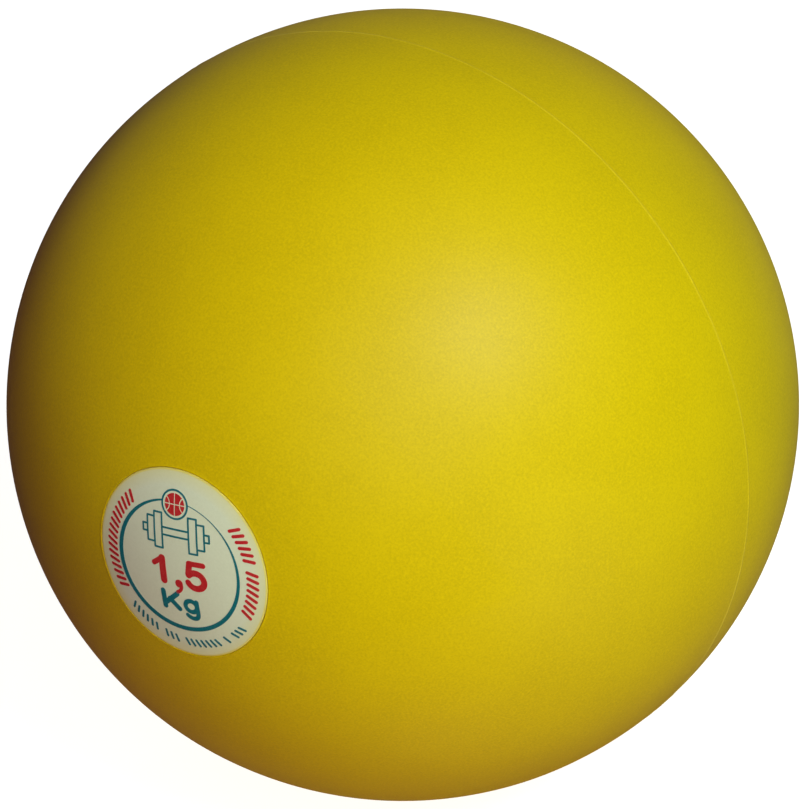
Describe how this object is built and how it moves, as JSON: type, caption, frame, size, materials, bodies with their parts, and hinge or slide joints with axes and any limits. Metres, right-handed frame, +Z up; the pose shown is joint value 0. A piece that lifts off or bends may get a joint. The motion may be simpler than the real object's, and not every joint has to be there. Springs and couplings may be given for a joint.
{
  "type": "medicine ball",
  "caption": "Soft hand-sized weight ball: a thick round skin filled with loose sand, with a plugged needle valve at the back and a round label at the front.",
  "frame": {"origin": "centre of the small flat that the soft ball makes where it rests on the floor", "axes": "+Z up from the floor through the ball's centre; -Y out through the label, the front; +Y out through the valve, the back; the mould's parting line lies in the XZ plane through the ball's centre"},
  "size_m": [0.1304, 0.13, 0.1284],
  "materials": {
    "soft_skin": "satin",
    "sand": "matte",
    "valve_rubber": "matte",
    "core_rubber": "matte",
    "plug_plastic": "satin",
    "label_vinyl": "satin"
  },
  "bodies": {
    "ball": {"shell": "soft_skin", "valve_housing": "valve_rubber", "valve_core": "core_rubber", "label": "label_vinyl"},
    "fill": {"sand_fill": "sand"},
    "plug": {"valve_plug": "plug_plastic"}
  },
  "joints": [
    {"name": "sand_roll", "type": "hinge", "parent": "ball", "child": "fill", "pos_m": [0, 0, 0.06325], "axis": [0, 1, 0], "continuous": true},
    {"name": "plug_pull", "type": "slide", "parent": "ball", "child": "plug", "axis": [0, 1, 0], "range_m": [0, 0.015]}
  ]
}
